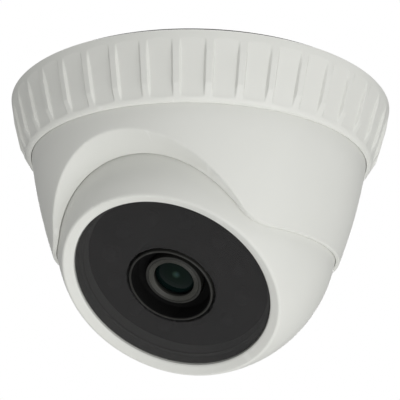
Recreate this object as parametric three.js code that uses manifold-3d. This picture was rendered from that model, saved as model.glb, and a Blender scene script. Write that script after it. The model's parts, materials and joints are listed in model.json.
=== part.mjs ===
// Dome CCTV camera for ceiling mounting, hanging below its mounting face.
// Millimetres, +Z up. The origin is the centre of the ceiling face, and the lens looks towards -Y.
import * as THREE from "three";
import { mergeVertices } from "three/addons/utils/BufferGeometryUtils.js";
import Module from "manifold-3d";

// ---- Driving dimensions -------------------------------------------------------------------

const GAP = 0.3; // clearance between pieces that touch on the real camera
const PAST = 1; // how far a cutting solid runs beyond the face that it cuts
const BEYOND = 60; // half the side of a block that reaches past the whole camera
const THREE_WAYS = [90, 210, 330]; // directions of the screws and bosses that come in threes

// Heights, measured down from the ceiling face
const RING_TOP = -1.0;
const RING_BOTTOM = -15.71;
const FLANGE_TOP = -10.7;
const FLANGE_BOTTOM = -12.7;
const RIM_Z = -39.6;

// Locking ring. Its outline is [radius of a rib, depth below the ring's top, how far the flat panel
// between two ribs lies behind them].
const RING_RADIUS = 46.95;
const RING_INNER = 42.6;
const LIP_INNER = 41.35;
const FLUTES = 40;
const RIB_WIDTH = 1.8;
const RIB_TURN = THREE.MathUtils.degToRad(2.3); // direction of the first rib, from +X
const RING_OUTLINE = [
  [46.5, 0, 0],
  [RING_RADIUS, 0.35, 0],
  [46.8, 1.2, 0],
  [46.1, 4.85, 0.45],
  [44.2, 11.25, 0.55],
  [42.6, 13.75, 0],
  [42.1, 14.45, 0],
  [LIP_INNER + 0.2, RING_TOP - RING_BOTTOM, 0],
];
const FLANK = 1.15; // the panel starts this many half widths from the middle of a rib
const LUG_ROOT = 0.5; // how far a tab or lug reaches into the wall that carries it
const TAB = { inner: 41.7, span: 24, bottom: -6.4, top: -4.6 };

// Base plate
const PLATE_THICKNESS = 2.0;
const PLATE_RADIUS = 42.25;
const PLATE_STEP_RADIUS = 35.7;
const SKIRT_OUTER = 41.4;
const SKIRT_INNER = 39.4;
const SKIRT_BOTTOM = -9.6;
const LUG = { outer: 42.2, span: 30, bottom: -8.6, top: -6.8 };
const CABLE_HOLE = { y: 18, radius: 5.6 };
const SCREW_SLOT = { radius: 29, angles: [-90, 30, 150], length: 11, width: 4.5 };
const SLOT_RECESS = { length: 15, width: 8.5, depth: 0.6 };
const POCKET = { count: 7, first: 135, pitch: 45, span: 36, inner: 11, outer: 22, depth: 0.5 };
const GASKET = { outer: 44.4, thickness: 0.7 };
const GROMMET = { bore: 3.5, flange: 7.2, flangeThickness: 0.9, top: -0.4 };

// Eyeball
const BALL_RADIUS = 34.0;
const BALL_WALL = 2.0;
const BALL_SEAT_GAP = 0.4;
const BALL_Z = -32.5;
const FACE_PITCH = THREE.MathUtils.degToRad(52.15); // below the horizontal
const WINDOW_Z = 20.1; // front of the window, ahead of the ball's centre
const WINDOW_RADIUS = 23.3;
const WINDOW_THICKNESS = 1.6;
const WINDOW_HOLE = 10.7;
const RIM_RADIUS = 27.4; // where the ball ends and the rim round the window starts
const COVER_ANGLE = THREE.MathUtils.degToRad(-165); // turns +Z into the rear cover's outward axis
const COVER_SPLIT = 7.0;
const COVER_FACE = 13.8;
const COVER_SCREW_RADIUS = 27.4;
const COVER_RECESS = { radius: 2.4, depth: 1.7 };
const COVER_WIRE_HOLE = 4.0;
const SHELL_WALL_TOP = 16.2; // inside height at which the shell's wall meets the light trap
const LIGHT_TRAP = { inner: 22.4, outer: 23.8 };
const WINDOW_LEDGE_DEPTH = 1.1; // room for the seal under the window

// Housing
const NECK_RADIUS = 41.0;
const HOUSING_TAPER = 0.1778; // slope of the outside just below the ring
const HOUSING_BULGE = 0.00427; // how that slope grows with depth, per millimetre
const ARCH_DEPTH = 20; // how far the cut for the opening reaches below the rim
const ARCH_BACK = -8; // where that cut starts along Y, inside the ball's space
const ARCH = { radius: 26.8, centreZ: -50.45, fillet: 5.5, y: -33 };
const ARCH_FLARE = { radius: 28.3, centreZ: -48.75, fillet: 4.0, y: -40 };
const COLLAR = { top: -20, topRadius: 39.3, bottom: -33, bottomRadius: 36.2, back: -14 };
const HOUSING_BOSS = { radius: 2.2, bottom: -25, hole: 1.2, holeBottom: -23.5 };

// Pivots and retainer
const PIN_RADIUS = 2.0;
const PIN_START = 30.0;
const PIN_END = 35.3;
const PIN_HEAD = { radius: 3.4, end: 31.4 };
const PIN_SLOT_TOP = -22;
const FINGER_START = 34.7;
const RETAINER = { inner: 34.2, outer: 38.0, bottom: -18.3, top: -16.5, screwRadius: 36.2 };

// Camera module, along the optical axis from the ball's centre
const LED_BOARD = { bottom: 14.0, top: 15.1, radius: 24.2, hole: 8.9 };
const LED_CIRCLE = 16.2;
const LED_PLACES = 12;
const BOARD_EAR = { radius: 25.6, size: 2.3, angles: [45, 165, 285] };
const BOARD_POST = { top: 18, holeTop: 17.6, hole: 1.1 };
const LENS_FRONT = 18.3;
const LENS_RADIUS = 6.95;
const THREAD_RADIUS = 6.1;
const NUT = { radius: 8.2, thickness: 1.7 };
const SHROUD_RADIUS = 10.1;
const FRONT_GLASS = { radius: 5.1, back: 14.7, crown: 17.85, cap: 13.5 };
const SENSOR_BOARD = { bottom: -4.6, top: -3.2, side: 36 };
const STANDOFF = { pitch: 29, radius: 2.3, thread: 1.2, threadDepth: 6 };
const HOLDER = { length: 28, width: 14, bottom: -2.9, top: 2.2, tubeTop: 9.2, tubeRadius: 8.4, wall: 1.0 };
const HOLDER_CAVITY = { length: 24.4, width: 10 };
const FILTER = { length: 15.5, width: 8, bottom: -0.9, thickness: 1.0, pane: 6, travel: 7 };

// Screws: [head radius, head height, shaft radius]
const RETAINER_SCREW = [1.7, 1.2, 0.9];
const COVER_SCREW = [2.0, 1.2, 0.9];
const BOARD_SCREW = [1.8, 1.2, 0.8];
const STANDOFF_SCREW = [1.9, 1.2, 0.9];
const CLEAR_HOLE = 1.2; // radius of a hole that a screw's shaft passes or cuts its thread in

// ---- Solids ---------------------------------------------------------------------------------

const wasm = await Module();
wasm.setup();

function toSolid(geometry) {
  const bare = geometry.clone();
  bare.deleteAttribute("normal");
  bare.deleteAttribute("uv");
  const merged = mergeVertices(bare, 1e-4);
  const mesh = new wasm.Mesh({
    numProp: 3,
    vertProperties: merged.attributes.position.array,
    triVerts: new Uint32Array(merged.index.array),
  });
  return new wasm.Manifold(mesh);
}

function toGeometry(solid) {
  const mesh = solid.getMesh();
  const geometry = new THREE.BufferGeometry();
  geometry.setAttribute("position", new THREE.BufferAttribute(new Float32Array(mesh.vertProperties), 3));
  geometry.setIndex(new THREE.BufferAttribute(new Uint32Array(mesh.triVerts), 1));
  geometry.computeVertexNormals();
  return geometry;
}

// The body with each of the added geometries joined on and each of the cut ones taken away.
function combine(body, added, cut) {
  let solid = toSolid(body);
  for (const piece of added) {
    solid = solid.add(toSolid(piece));
  }
  for (const piece of cut) {
    solid = solid.subtract(toSolid(piece));
  }
  return toGeometry(solid);
}

function within(body, limit) {
  return toGeometry(toSolid(body).intersect(toSolid(limit)));
}

// Turns a closed outline of [radius, z] points about Z. An outline that leaves the axis ends on it.
function turned(outline, segments) {
  const points = outline.map(([radius, z]) => new THREE.Vector2(radius, z));
  const onAxis = outline[0][0] === 0 && outline[outline.length - 1][0] === 0;
  if (!onAxis) {
    points.push(points[0].clone());
  }
  if (THREE.ShapeUtils.area(points) < 0) {
    points.reverse();
  }
  return new THREE.LatheGeometry(points, segments).rotateX(Math.PI / 2);
}

function disc(radius, bottom, top, segments = 24) {
  return turned([[0, bottom], [radius, bottom], [radius, top], [0, top]], segments);
}

function annulus(inner, outer, bottom, top, segments = 48) {
  return turned([[inner, bottom], [outer, bottom], [outer, top], [inner, top]], segments);
}

function block(low, high) {
  const size = high.map((value, axis) => value - low[axis]);
  const centre = high.map((value, axis) => (value + low[axis]) / 2);
  return new THREE.BoxGeometry(...size).translate(...centre);
}

// A plate cut from a ring, between two angles in degrees.
function sector(inner, outer, from, to, bottom, top) {
  const start = THREE.MathUtils.degToRad(from);
  const end = THREE.MathUtils.degToRad(to);
  const shape = new THREE.Shape();
  shape.absarc(0, 0, outer, start, end, false);
  shape.absarc(0, 0, inner, end, start, true);
  const settings = { depth: top - bottom, bevelEnabled: false, curveSegments: 3 };
  return new THREE.ExtrudeGeometry(shape, settings).translate(0, 0, bottom);
}

function slot(length, width, bottom, top) {
  const half = (length - width) / 2;
  const shape = new THREE.Shape();
  shape.absarc(half, 0, width / 2, -Math.PI / 2, Math.PI / 2, false);
  shape.absarc(-half, 0, width / 2, Math.PI / 2, (3 * Math.PI) / 2, false);
  const settings = { depth: top - bottom, bevelEnabled: false, curveSegments: 4 };
  return new THREE.ExtrudeGeometry(shape, settings).translate(0, 0, bottom);
}

// Points of a circular arc in the [radius, z] plane, from one angle to another, in degrees.
function arc(centre, radius, from, to, steps) {
  const points = [];
  for (let i = 0; i <= steps; i += 1) {
    const angle = THREE.MathUtils.degToRad(from + ((to - from) * i) / steps);
    points.push([centre[0] + radius * Math.cos(angle), centre[1] + radius * Math.sin(angle)]);
  }
  return points;
}

// Joins rings of points, all of one length and each closed on itself, and caps both ends.
function lofted(rings) {
  const count = rings[0].length;
  const positions = rings.flat().flatMap((point) => point.toArray());
  const indices = [];
  for (let ring = 0; ring + 1 < rings.length; ring += 1) {
    for (let i = 0; i < count; i += 1) {
      const a = ring * count + i;
      const b = ring * count + ((i + 1) % count);
      indices.push(a, b, b + count, a, b + count, a + count);
    }
  }
  const last = (rings.length - 1) * count;
  for (let i = 1; i + 1 < count; i += 1) {
    indices.push(0, i + 1, i, last, last + i, last + i + 1);
  }
  const geometry = new THREE.BufferGeometry();
  geometry.setAttribute("position", new THREE.Float32BufferAttribute(positions, 3));
  geometry.setIndex(indices);
  return geometry;
}

function screwShape([headRadius, headHeight, shaftRadius], length) {
  const outline = [
    [0, -length],
    [shaftRadius, -length],
    [shaftRadius, 0],
    [headRadius, 0],
    [headRadius, headHeight],
    [0, headHeight],
  ];
  return turned(outline, 8);
}

// ---- Materials and naming -------------------------------------------------------------------

function material(color, roughness, metalness = 0) {
  return new THREE.MeshStandardMaterial({ color, roughness, metalness });
}

const finishes = {
  whitePlastic: material(0xe6e7e1, 0.42),
  blackPlastic: material(0x1c1c1c, 0.5),
  darkPlastic: material(0x3e3e3a, 0.45),
  smokedWindow: material(0x1a1a1c, 0.08),
  foam: material(0x2a2a28, 0.95),
  rubber: material(0x202020, 0.8),
  board: material(0x1d4a2c, 0.6),
  blackBoard: material(0x161818, 0.6),
  glass: material(0x16281c, 0.05),
  led: material(0x33363c, 0.15),
  steel: material(0xb4b6b8, 0.3, 1),
  brass: material(0xb59a55, 0.35, 1),
  chip: material(0x222426, 0.35),
};

function named(name, geometry, finish) {
  const mesh = new THREE.Mesh(geometry, finishes[finish]);
  mesh.name = name;
  return mesh;
}

function at(mesh, x, y, z) {
  mesh.position.set(x, y, z);
  return mesh;
}

// [x, y] of a place on a circle, with the angle in degrees from +X.
function onCircle(radius, angle) {
  const radians = THREE.MathUtils.degToRad(angle);
  return [radius * Math.cos(radians), radius * Math.sin(radians)];
}

// ---- Base -----------------------------------------------------------------------------------

function bayonet(inner, outer, middle, { span, bottom, top }) {
  return sector(inner, outer, middle - span / 2, middle + span / 2, bottom, top);
}

function basePlate() {
  const outerTop = RING_TOP;
  const outline = [
    [0, -PLATE_THICKNESS],
    [PLATE_STEP_RADIUS - 1, -PLATE_THICKNESS],
    [PLATE_STEP_RADIUS, outerTop - PLATE_THICKNESS],
    [SKIRT_INNER, outerTop - PLATE_THICKNESS],
    [SKIRT_INNER, SKIRT_BOTTOM],
    [SKIRT_OUTER, SKIRT_BOTTOM],
    [SKIRT_OUTER, outerTop - PLATE_THICKNESS],
    [PLATE_RADIUS, outerTop - PLATE_THICKNESS],
    [PLATE_RADIUS, outerTop],
    [PLATE_STEP_RADIUS, outerTop],
    [PLATE_STEP_RADIUS, 0],
    [0, 0],
  ];
  const lugs = THREE_WAYS.map((middle) => bayonet(SKIRT_OUTER - LUG_ROOT, LUG.outer, middle, LUG));
  const cuts = [disc(CABLE_HOLE.radius, -2 * PLATE_THICKNESS, PAST).translate(0, CABLE_HOLE.y, 0)];
  for (const angle of SCREW_SLOT.angles) {
    const [x, y] = onCircle(SCREW_SLOT.radius, angle);
    const turn = THREE.MathUtils.degToRad(angle + 90);
    const through = slot(SCREW_SLOT.length, SCREW_SLOT.width, -2 * PLATE_THICKNESS, PAST);
    const recess = slot(SLOT_RECESS.length, SLOT_RECESS.width, -SLOT_RECESS.depth, PAST);
    cuts.push(through.rotateZ(turn).translate(x, y, 0), recess.rotateZ(turn).translate(x, y, 0));
  }
  for (let i = 0; i < POCKET.count; i += 1) {
    const from = POCKET.first + POCKET.pitch * i - POCKET.span / 2;
    cuts.push(sector(POCKET.inner, POCKET.outer, from, from + POCKET.span, -POCKET.depth, PAST));
  }
  return named("base_plate", combine(turned(outline, 40), lugs, cuts), "whitePlastic");
}

function baseGasket() {
  const ring = annulus(PLATE_STEP_RADIUS + GAP, GASKET.outer, -GASKET.thickness, 0);
  return named("base_gasket", ring, "foam");
}

function cableGrommet() {
  const { bore, flange, flangeThickness, top } = GROMMET;
  const neck = CABLE_HOLE.radius - GAP;
  const flangeTop = -PLATE_THICKNESS - GAP;
  const flangeBottom = flangeTop - flangeThickness;
  const outline = [
    [bore, flangeBottom],
    [flange, flangeBottom],
    [flange, flangeTop],
    [neck, flangeTop],
    [neck, top],
    [bore, top],
  ];
  return at(named("cable_grommet", turned(outline, 20), "rubber"), 0, CABLE_HOLE.y, 0);
}

function panFrictionRing() {
  const ring = annulus(SKIRT_INNER + 0.2, SKIRT_OUTER - 0.1, FLANGE_TOP + GAP, SKIRT_BOTTOM - GAP, 32);
  return named("pan_friction_ring", ring, "rubber");
}

// ---- Locking ring ---------------------------------------------------------------------------

function lockingRing() {
  const ribHalf = RIB_WIDTH / RING_RADIUS / 2;
  const flank = ribHalf * FLANK;
  const pitch = (2 * Math.PI) / FLUTES;
  const columns = [];
  for (let i = 0; i < FLUTES; i += 1) {
    const rib = RIB_TURN + i * pitch;
    columns.push([rib - ribHalf, false], [rib + ribHalf, false]);
    columns.push([rib + flank, true], [rib + pitch - flank, true]);
  }
  const rings = RING_OUTLINE.map(([radius, depth, sink]) =>
    columns.map(([angle, onPanel]) => {
      const here = onPanel ? radius - sink : radius;
      return new THREE.Vector3(here * Math.cos(angle), here * Math.sin(angle), RING_TOP - depth);
    }),
  );
  rings.reverse();
  const lipTop = FLANGE_BOTTOM - GAP;
  const bore = [
    [0, RING_BOTTOM - PAST],
    [LIP_INNER, RING_BOTTOM - PAST],
    [LIP_INNER, lipTop - 0.2],
    [RING_INNER, lipTop],
    [RING_INNER, RING_TOP + PAST],
    [0, RING_TOP + PAST],
  ];
  const hollow = combine(lofted(rings), [], [turned(bore, 56)]);
  const tabs = THREE_WAYS.map((middle) => bayonet(TAB.inner, RING_INNER + LUG_ROOT, middle, TAB));
  return named("locking_ring", combine(hollow, tabs, []), "whitePlastic");
}

// ---- Dome housing ---------------------------------------------------------------------------

// The outside bulges: its radius falls with a slope that grows with the depth below the ring.
function housingRadius(z) {
  const depth = RING_BOTTOM - z;
  return NECK_RADIUS - HOUSING_TAPER * depth - HOUSING_BULGE * depth * depth;
}

// Outline of the front opening at one depth along Y: an arch that runs out into the lower rim.
function archRing({ radius, centreZ, fillet }, y) {
  const filletZ = RIM_Z + fillet;
  const spread = Math.sqrt((radius + fillet) ** 2 - (filletZ - centreZ) ** 2);
  const tangent = THREE.MathUtils.radToDeg(Math.atan2(filletZ - centreZ, spread));
  const right = arc([spread, filletZ], fillet, 270, 180 + tangent, 4);
  const over = arc([0, centreZ], radius, tangent, 180 - tangent, 22).slice(1, -1);
  const left = right.map(([x, z]) => [-x, z]).reverse();
  const bottom = RIM_Z - ARCH_DEPTH;
  const outline = [[spread, bottom], ...right, ...over, ...left, [-spread, bottom]];
  return outline.map(([x, z]) => new THREE.Vector3(x, y, z));
}

function archCutter() {
  const straight = archRing(ARCH, ARCH_BACK);
  const seam = archRing(ARCH, ARCH.y);
  const flare = archRing(ARCH_FLARE, ARCH_FLARE.y);
  const beyond = flare.map((point, i) => point.clone().multiplyScalar(2).sub(seam[i]));
  return lofted([straight, seam, beyond]);
}

// Points down the ball's seat between two heights.
function seatOutline(top, bottom, steps) {
  const points = [];
  for (let i = 0; i <= steps; i += 1) {
    const z = top + ((bottom - top) * i) / steps;
    points.push([Math.sqrt((BALL_RADIUS + BALL_SEAT_GAP) ** 2 - (z - BALL_Z) ** 2), z]);
  }
  return points;
}

// Thickened front of the housing, which follows the ball up to the top of the arch.
function archCollar() {
  const { top, topRadius, bottom, bottomRadius, back } = COLLAR;
  const outline = [[bottomRadius, bottom], [topRadius, top], ...seatOutline(top, bottom, 6)];
  const front = block([-BEYOND, -BEYOND, -BEYOND], [BEYOND, back, 0]);
  return within(turned(outline, 64), front);
}

function domeHousing() {
  const outside = [];
  for (let i = 0; i <= 6; i += 1) {
    const z = RIM_Z + ((RING_BOTTOM - RIM_Z) * i) / 6;
    outside.push([housingRadius(z), z]);
  }
  const outline = [
    [39.4, FLANGE_TOP],
    [39.2, RING_BOTTOM],
    [37.2, -25],
    [34.75, -31.2],
    ...seatOutline(BALL_Z, RIM_Z, 3),
    ...outside,
    [NECK_RADIUS, FLANGE_BOTTOM],
    [PLATE_RADIUS, FLANGE_BOTTOM],
    [PLATE_RADIUS, FLANGE_TOP],
  ];
  const bosses = [archCollar()];
  const cuts = [archCutter()];
  const { radius, bottom, hole, holeBottom } = HOUSING_BOSS;
  for (const angle of THREE_WAYS) {
    const [x, y] = onCircle(RETAINER.screwRadius, angle);
    bosses.push(disc(radius, bottom, RETAINER.bottom - GAP, 12).translate(x, y, 0));
    cuts.push(disc(hole, holeBottom, FLANGE_TOP + PAST, 10).translate(x, y, 0));
  }
  const socket = PIN_RADIUS + GAP;
  for (const side of [-1, 1]) {
    const [low, high] = [side * PIN_START, side * (PIN_END + GAP)].sort((a, b) => a - b);
    cuts.push(block([low, -socket, BALL_Z], [high, socket, PIN_SLOT_TOP]));
    cuts.push(disc(socket, low, high, 20).rotateY(Math.PI / 2).translate(0, 0, BALL_Z));
  }
  return named("dome_housing", combine(turned(outline, 64), bosses, cuts), "whitePlastic");
}

function eyeballRetainer() {
  const { inner, outer, bottom, top, screwRadius } = RETAINER;
  const fingerBottom = BALL_Z + PIN_RADIUS + GAP;
  const fingers = [-1, 1].map((side) => {
    const [low, high] = [side * FINGER_START, side * PIN_END].sort((a, b) => a - b);
    return block([low, -PIN_RADIUS, fingerBottom], [high, PIN_RADIUS, top]);
  });
  const holes = THREE_WAYS.map((angle) => {
    const [x, y] = onCircle(screwRadius, angle);
    return disc(CLEAR_HOLE, bottom - PAST, top + PAST, 10).translate(x, y, 0);
  });
  const ring = annulus(inner, outer, bottom, top, 36);
  return named("eyeball_retainer", combine(ring, fingers, holes), "blackPlastic");
}

function retainerScrews() {
  const seatZ = RETAINER.top + GAP;
  const length = seatZ - HOUSING_BOSS.holeBottom - 0.5;
  return THREE_WAYS.map((angle, i) => {
    const [x, y] = onCircle(RETAINER.screwRadius, angle);
    const screw = named(`retainer_screw_${i + 1}`, screwShape(RETAINER_SCREW, length), "steel");
    return at(screw, x, y, seatZ);
  });
}

// ---- Eyeball shells, in the ball's own frame: +Z out of the window, +Y up the face ---------------

function inCoverFrame(geometry) {
  return geometry.rotateX(COVER_ANGLE);
}

// A screw post with a web that ties it into the ball's wall, kept short of the ball's outside.
function coverBoss(angle, low, high) {
  const postRadius = 3;
  const reach = BALL_RADIUS - 0.8;
  const post = disc(postRadius, low, high, 14).translate(COVER_SCREW_RADIUS, 0, 0);
  const web = block([COVER_SCREW_RADIUS, -postRadius / 2, low], [reach, postRadius / 2, high]);
  const insideShell = new THREE.SphereGeometry(reach, 32, 16);
  const joined = within(combine(post, [web], []), insideShell);
  return joined.rotateZ(THREE.MathUtils.degToRad(angle));
}

function eyeballFrontShell() {
  const inner = BALL_RADIUS - BALL_WALL;
  const rimAngle = THREE.MathUtils.radToDeg(Math.acos(RIM_RADIUS / BALL_RADIUS));
  const wallAngle = THREE.MathUtils.radToDeg(Math.asin(SHELL_WALL_TOP / inner));
  const lowest = -50; // degrees, and past the cut for the rear cover
  const trapBottom = LED_BOARD.top + GAP;
  const ledge = WINDOW_Z - WINDOW_THICKNESS - WINDOW_LEDGE_DEPTH;
  const outline = [
    ...arc([0, 0], BALL_RADIUS, lowest, rimAngle, 10),
    [26.6, 20.6],
    [25.6, 20.9],
    [24.2, 20.95],
    [WINDOW_RADIUS + GAP, 20.5],
    [WINDOW_RADIUS + GAP, ledge],
    [LIGHT_TRAP.inner, ledge],
    [LIGHT_TRAP.inner, trapBottom],
    [LIGHT_TRAP.outer, trapBottom],
    [LIGHT_TRAP.outer, SHELL_WALL_TOP],
    ...arc([0, 0], inner, wallAngle, lowest, 6),
  ];
  const cuts = [inCoverFrame(block([-BEYOND, -BEYOND, COVER_SPLIT], [BEYOND, BEYOND, BEYOND]))];
  const bosses = [];
  for (const angle of THREE_WAYS) {
    bosses.push(inCoverFrame(coverBoss(angle, 0.5, COVER_SPLIT)));
    const [x, y] = onCircle(COVER_SCREW_RADIUS, angle);
    cuts.push(inCoverFrame(disc(CLEAR_HOLE, 2, COVER_SPLIT + PAST, 10).translate(x, y, 0)));
  }
  for (const angle of BOARD_EAR.angles) {
    const [x, y] = onCircle(BOARD_EAR.radius, angle);
    bosses.push(disc(BOARD_EAR.size, trapBottom, BOARD_POST.top, 12).translate(x, y, 0));
    cuts.push(disc(BOARD_POST.hole, trapBottom - PAST, BOARD_POST.holeTop, 10).translate(x, y, 0));
  }
  cuts.push(disc(PIN_RADIUS + GAP, -BEYOND, BEYOND, 20).rotateY(Math.PI / 2));
  const shell = combine(turned(outline, 48), bosses, cuts);
  return named("eyeball_front_shell", shell, "whitePlastic");
}

function eyeballRearCover() {
  const split = COVER_SPLIT + GAP;
  const inner = BALL_RADIUS - BALL_WALL;
  const plateInside = COVER_FACE - BALL_WALL;
  const angleOf = (radius, z) => THREE.MathUtils.radToDeg(Math.asin(z / radius));
  const outline = [
    [0, plateInside],
    ...arc([0, 0], inner, angleOf(inner, plateInside), angleOf(inner, split), 2),
    ...arc([0, 0], BALL_RADIUS, angleOf(BALL_RADIUS, split), angleOf(BALL_RADIUS, COVER_FACE - 0.5), 3),
    [30.6, COVER_FACE],
    [0, COVER_FACE],
  ];
  const bosses = THREE_WAYS.map((angle) => coverBoss(angle, split, plateInside + 0.5));
  const cuts = [disc(COVER_WIRE_HOLE, plateInside - PAST, COVER_FACE + PAST)];
  const { radius, depth } = COVER_RECESS;
  for (const angle of THREE_WAYS) {
    const [x, y] = onCircle(COVER_SCREW_RADIUS, angle);
    cuts.push(disc(CLEAR_HOLE, split - PAST, COVER_FACE + PAST, 10).translate(x, y, 0));
    cuts.push(disc(radius, COVER_FACE - depth, COVER_FACE + PAST, 16).translate(x, y, 0));
  }
  const cover = combine(turned(outline, 44), bosses, cuts);
  return named("eyeball_rear_cover", inCoverFrame(cover), "whitePlastic");
}

function coverScrews() {
  return THREE_WAYS.map((angle, i) => {
    const seatZ = COVER_FACE - COVER_RECESS.depth + GAP;
    const [x, y] = onCircle(COVER_SCREW_RADIUS, angle);
    const shape = screwShape(COVER_SCREW, seatZ - 2.5).translate(x, y, seatZ);
    return named(`cover_screw_${i + 1}`, inCoverFrame(shape), "steel");
  });
}

function pivotPins() {
  return [["left", -1], ["right", 1]].map(([label, side]) => {
    const outline = [
      [0, PIN_START],
      [PIN_HEAD.radius, PIN_START],
      [PIN_HEAD.radius, PIN_HEAD.end],
      [PIN_RADIUS, PIN_HEAD.end],
      [PIN_RADIUS, PIN_END],
      [0, PIN_END],
    ];
    const pin = turned(outline, 12).rotateY((side * Math.PI) / 2);
    return named(`pivot_pin_${label}`, pin, "steel");
  });
}

// ---- Window and lens shroud ---------------------------------------------------------------------

function frontWindow() {
  const back = WINDOW_Z - WINDOW_THICKNESS;
  return named("front_window", annulus(WINDOW_HOLE, WINDOW_RADIUS, back, WINDOW_Z, 48), "smokedWindow");
}

function windowSeal() {
  const top = WINDOW_Z - WINDOW_THICKNESS - GAP;
  return named("window_seal", annulus(22.5, 23.2, top - 0.5, top, 32), "rubber");
}

function lensShroud() {
  const foot = LED_BOARD.top + GAP;
  const outline = [
    [9.3, foot],
    [SHROUD_RADIUS, foot],
    [SHROUD_RADIUS, WINDOW_Z],
    [SHROUD_RADIUS - 0.3, WINDOW_Z + 0.2],
    [9.35, WINDOW_Z],
    [9.0, 17.2],
    [7.35, 16.6],
    [7.35, 15.9],
    [9.3, 15.9],
  ];
  return named("lens_shroud", turned(outline, 32), "darkPlastic");
}

// ---- Infrared board -----------------------------------------------------------------------------

function ledBoard() {
  const { bottom, top, radius, hole } = LED_BOARD;
  const ears = [];
  const holes = [];
  for (const angle of BOARD_EAR.angles) {
    const [x, y] = onCircle(BOARD_EAR.radius, angle);
    ears.push(disc(BOARD_EAR.size, bottom, top, 12).translate(x, y, 0));
    holes.push(disc(CLEAR_HOLE, bottom - PAST, top + PAST, 10).translate(x, y, 0));
  }
  const board = combine(annulus(hole, radius, bottom, top, 36), ears, holes);
  return named("led_board", board, "blackBoard");
}

function infraredLeds() {
  const outline = [[0, 0], [2.6, 0], [2.6, 0.8], [2.1, 0.8], [1.5, 2.2], [0, 2.7]];
  const leds = [];
  for (let place = 1; place < LED_PLACES; place += 1) {
    const [x, y] = onCircle(LED_CIRCLE, -90 + (360 * place) / LED_PLACES);
    const led = named(`ir_led_${place}`, turned(outline, 8), "led");
    leds.push(at(led, x, y, LED_BOARD.top + GAP));
  }
  return leds;
}

function lightSensor() {
  const cell = block([-2, -1.5, 0], [2, 1.5, 1.8]);
  return at(named("light_sensor", cell, "led"), 0, -LED_CIRCLE, LED_BOARD.top + GAP);
}

function boardScrews() {
  return BOARD_EAR.angles.map((angle, i) => {
    const [x, y] = onCircle(BOARD_EAR.radius, angle);
    const shape = screwShape(BOARD_SCREW, 3.6).rotateX(Math.PI);
    return at(named(`board_screw_${i + 1}`, shape, "steel"), x, y, LED_BOARD.bottom - GAP);
  });
}

// ---- Lens ---------------------------------------------------------------------------------------

function lensBarrel() {
  const outline = [
    [2.6, 2.6],
    [THREAD_RADIUS, 2.6],
    [THREAD_RADIUS, 14.6],
    [LENS_RADIUS, 15.2],
    [LENS_RADIUS, 17.9],
    [LENS_RADIUS - 0.3, LENS_FRONT],
    [5.9, LENS_FRONT],
    [5.9, 17.2],
    [5.4, 17.2],
    [5.4, 14.4],
    [4.2, 14.4],
    [3.5, 5.0],
    [2.6, 5.0],
  ];
  return named("lens_barrel", turned(outline, 24), "blackPlastic");
}

function lensRetainingRing() {
  const outline = [[4.65, 17.45], [5.6, 17.45], [5.6, 18.15], [5.0, 18.15]];
  return named("lens_retaining_ring", turned(outline, 20), "darkPlastic");
}

function lensFrontGlass() {
  const { radius, back, crown, cap } = FRONT_GLASS;
  const capAngle = THREE.MathUtils.radToDeg(Math.acos(radius / cap));
  const dome = arc([0, crown - cap], cap, capAngle, 90, 4).slice(0, -1);
  return named("lens_front_glass", turned([[0, back], [radius, back], ...dome, [0, crown]], 20), "glass");
}

function lensRearGlass() {
  return named("lens_rear_glass", disc(3.1, 5.4, 7.0, 18), "glass");
}

function lensLockNut() {
  const bottom = HOLDER.tubeTop + GAP;
  const nut = annulus(THREAD_RADIUS + GAP, NUT.radius, bottom, bottom + NUT.thickness, 24);
  return named("lens_lock_nut", nut, "brass");
}

function lensHolder() {
  const { length, width, bottom, top, tubeTop, tubeRadius, wall } = HOLDER;
  const [halfLength, halfWidth] = [HOLDER_CAVITY.length / 2, HOLDER_CAVITY.width / 2];
  const body = block([-length / 2, -width / 2, bottom], [length / 2, width / 2, top]);
  const tube = disc(tubeRadius, top - 0.5, tubeTop, 24);
  const cavity = block([-halfLength, -halfWidth, bottom - PAST], [halfLength, halfWidth, top - wall]);
  const bore = disc(THREAD_RADIUS + GAP, top - 2 * wall, tubeTop + PAST, 24);
  return named("lens_holder", combine(body, [tube], [cavity, bore]), "blackPlastic");
}

// ---- Infrared-cut filter ------------------------------------------------------------------------

function filterParts() {
  const { length, width, bottom, thickness, pane, travel } = FILTER;
  const start = -pane / 2 - 1;
  const frame = block([start, -width / 2, bottom], [start + length, width / 2, bottom + thickness]);
  const half = pane / 2;
  const windows = [0, travel].map((x) => {
    return block([x - half, -half, bottom - PAST], [x + half, half, bottom + thickness + PAST]);
  });
  const paneHalf = half - GAP;
  const panes = [["day", 0], ["night", travel]].map(([label, x]) => {
    const low = [x - paneHalf, -paneHalf, bottom + 0.2];
    const high = [x + paneHalf, paneHalf, bottom + thickness - 0.2];
    return named(`filter_glass_${label}`, block(low, high), "glass");
  });
  return [named("filter_frame", combine(frame, [], windows), "blackPlastic"), ...panes];
}

function filterActuator() {
  const side = HOLDER.width / 2 + GAP;
  const [halfLength, depth] = [6, 4.4];
  const top = HOLDER.top - 0.5 - GAP;
  const coil = block([-halfLength, side, SENSOR_BOARD.top + GAP], [halfLength, side + depth, top]);
  return named("filter_actuator", coil, "chip");
}

// ---- Sensor board -------------------------------------------------------------------------------

const STANDOFF_PLACES = [[-1, -1], [1, -1], [1, 1], [-1, 1]].map(([x, y]) => {
  return [(x * STANDOFF.pitch) / 2, (y * STANDOFF.pitch) / 2];
});

function sensorBoard() {
  const { bottom, top, side } = SENSOR_BOARD;
  const plate = block([-side / 2, -side / 2, bottom], [side / 2, side / 2, top]);
  const holes = STANDOFF_PLACES.map(([x, y]) => {
    return disc(CLEAR_HOLE, bottom - PAST, top + PAST, 10).translate(x, y, 0);
  });
  return named("sensor_board", combine(plate, [], holes), "board");
}

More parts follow.
